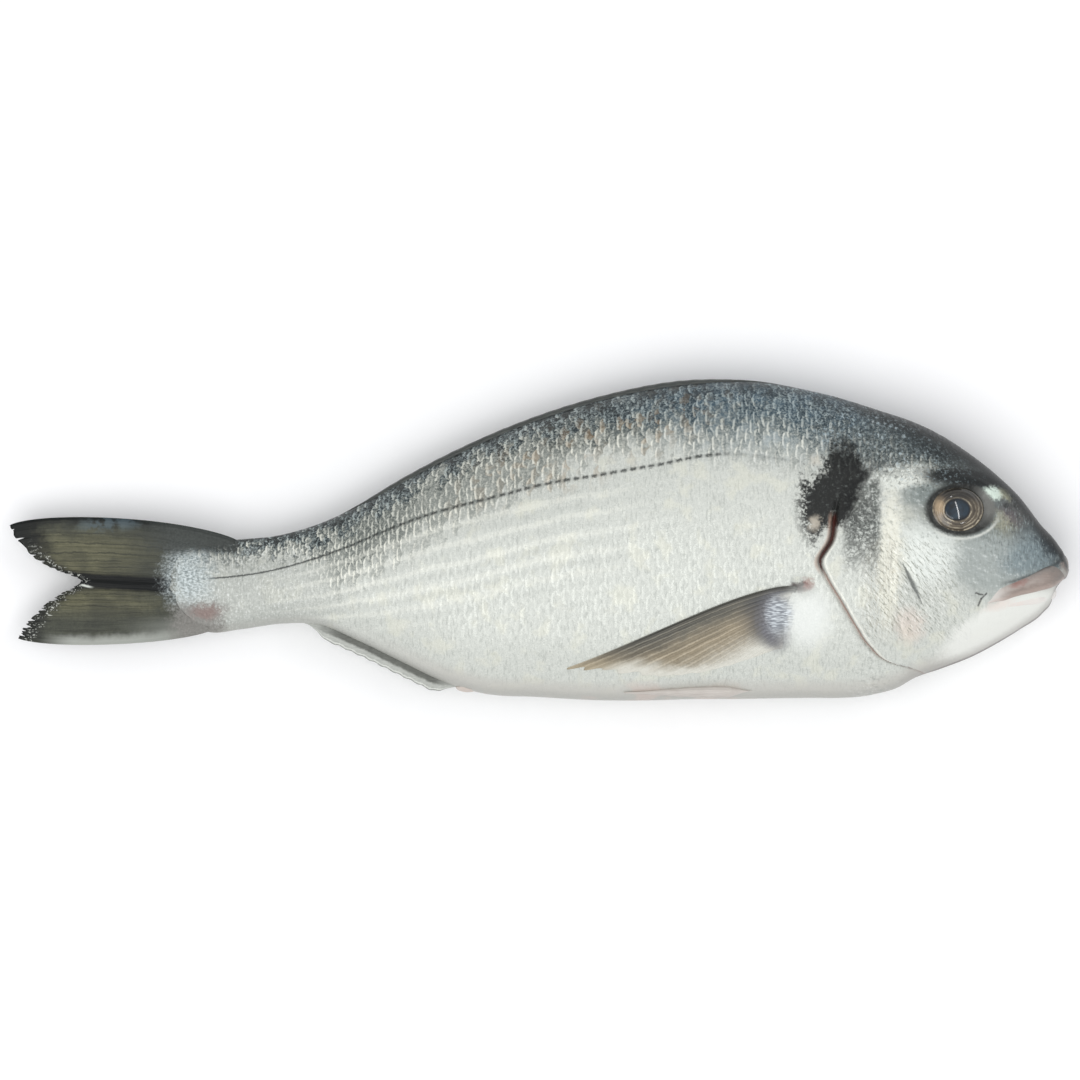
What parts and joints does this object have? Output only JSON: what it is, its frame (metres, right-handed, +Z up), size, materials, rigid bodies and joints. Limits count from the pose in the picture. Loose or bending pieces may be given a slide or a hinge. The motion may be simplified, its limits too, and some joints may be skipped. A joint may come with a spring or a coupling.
{
  "type": "sea bream",
  "caption": "Whole raw sea bream lying on its side: deep oval body, forked tail fin, folded fins, gill cover, lips and eyes, in one solid.",
  "frame": {"origin": "under the middle of the fish's bounding box, on the surface that it lies on", "axes": "+X towards the head, +Y towards the back, +Z up from the surface, out of the right flank"},
  "size_m": [0.2996, 0.0905, 0.0385],
  "materials": {
    "silver_skin": "wet silvery scaled skin, slate grey along the back and nearly white at the belly",
    "fin_membrane": "thin ribbed fin skin, dark grey with an olive tint",
    "eye": "wet and clear over a dark pupil and a grey-gold iris"
  },
  "bodies": {
    "root": {"sea_bream": "silver_skin"}
  },
  "joints": []
}
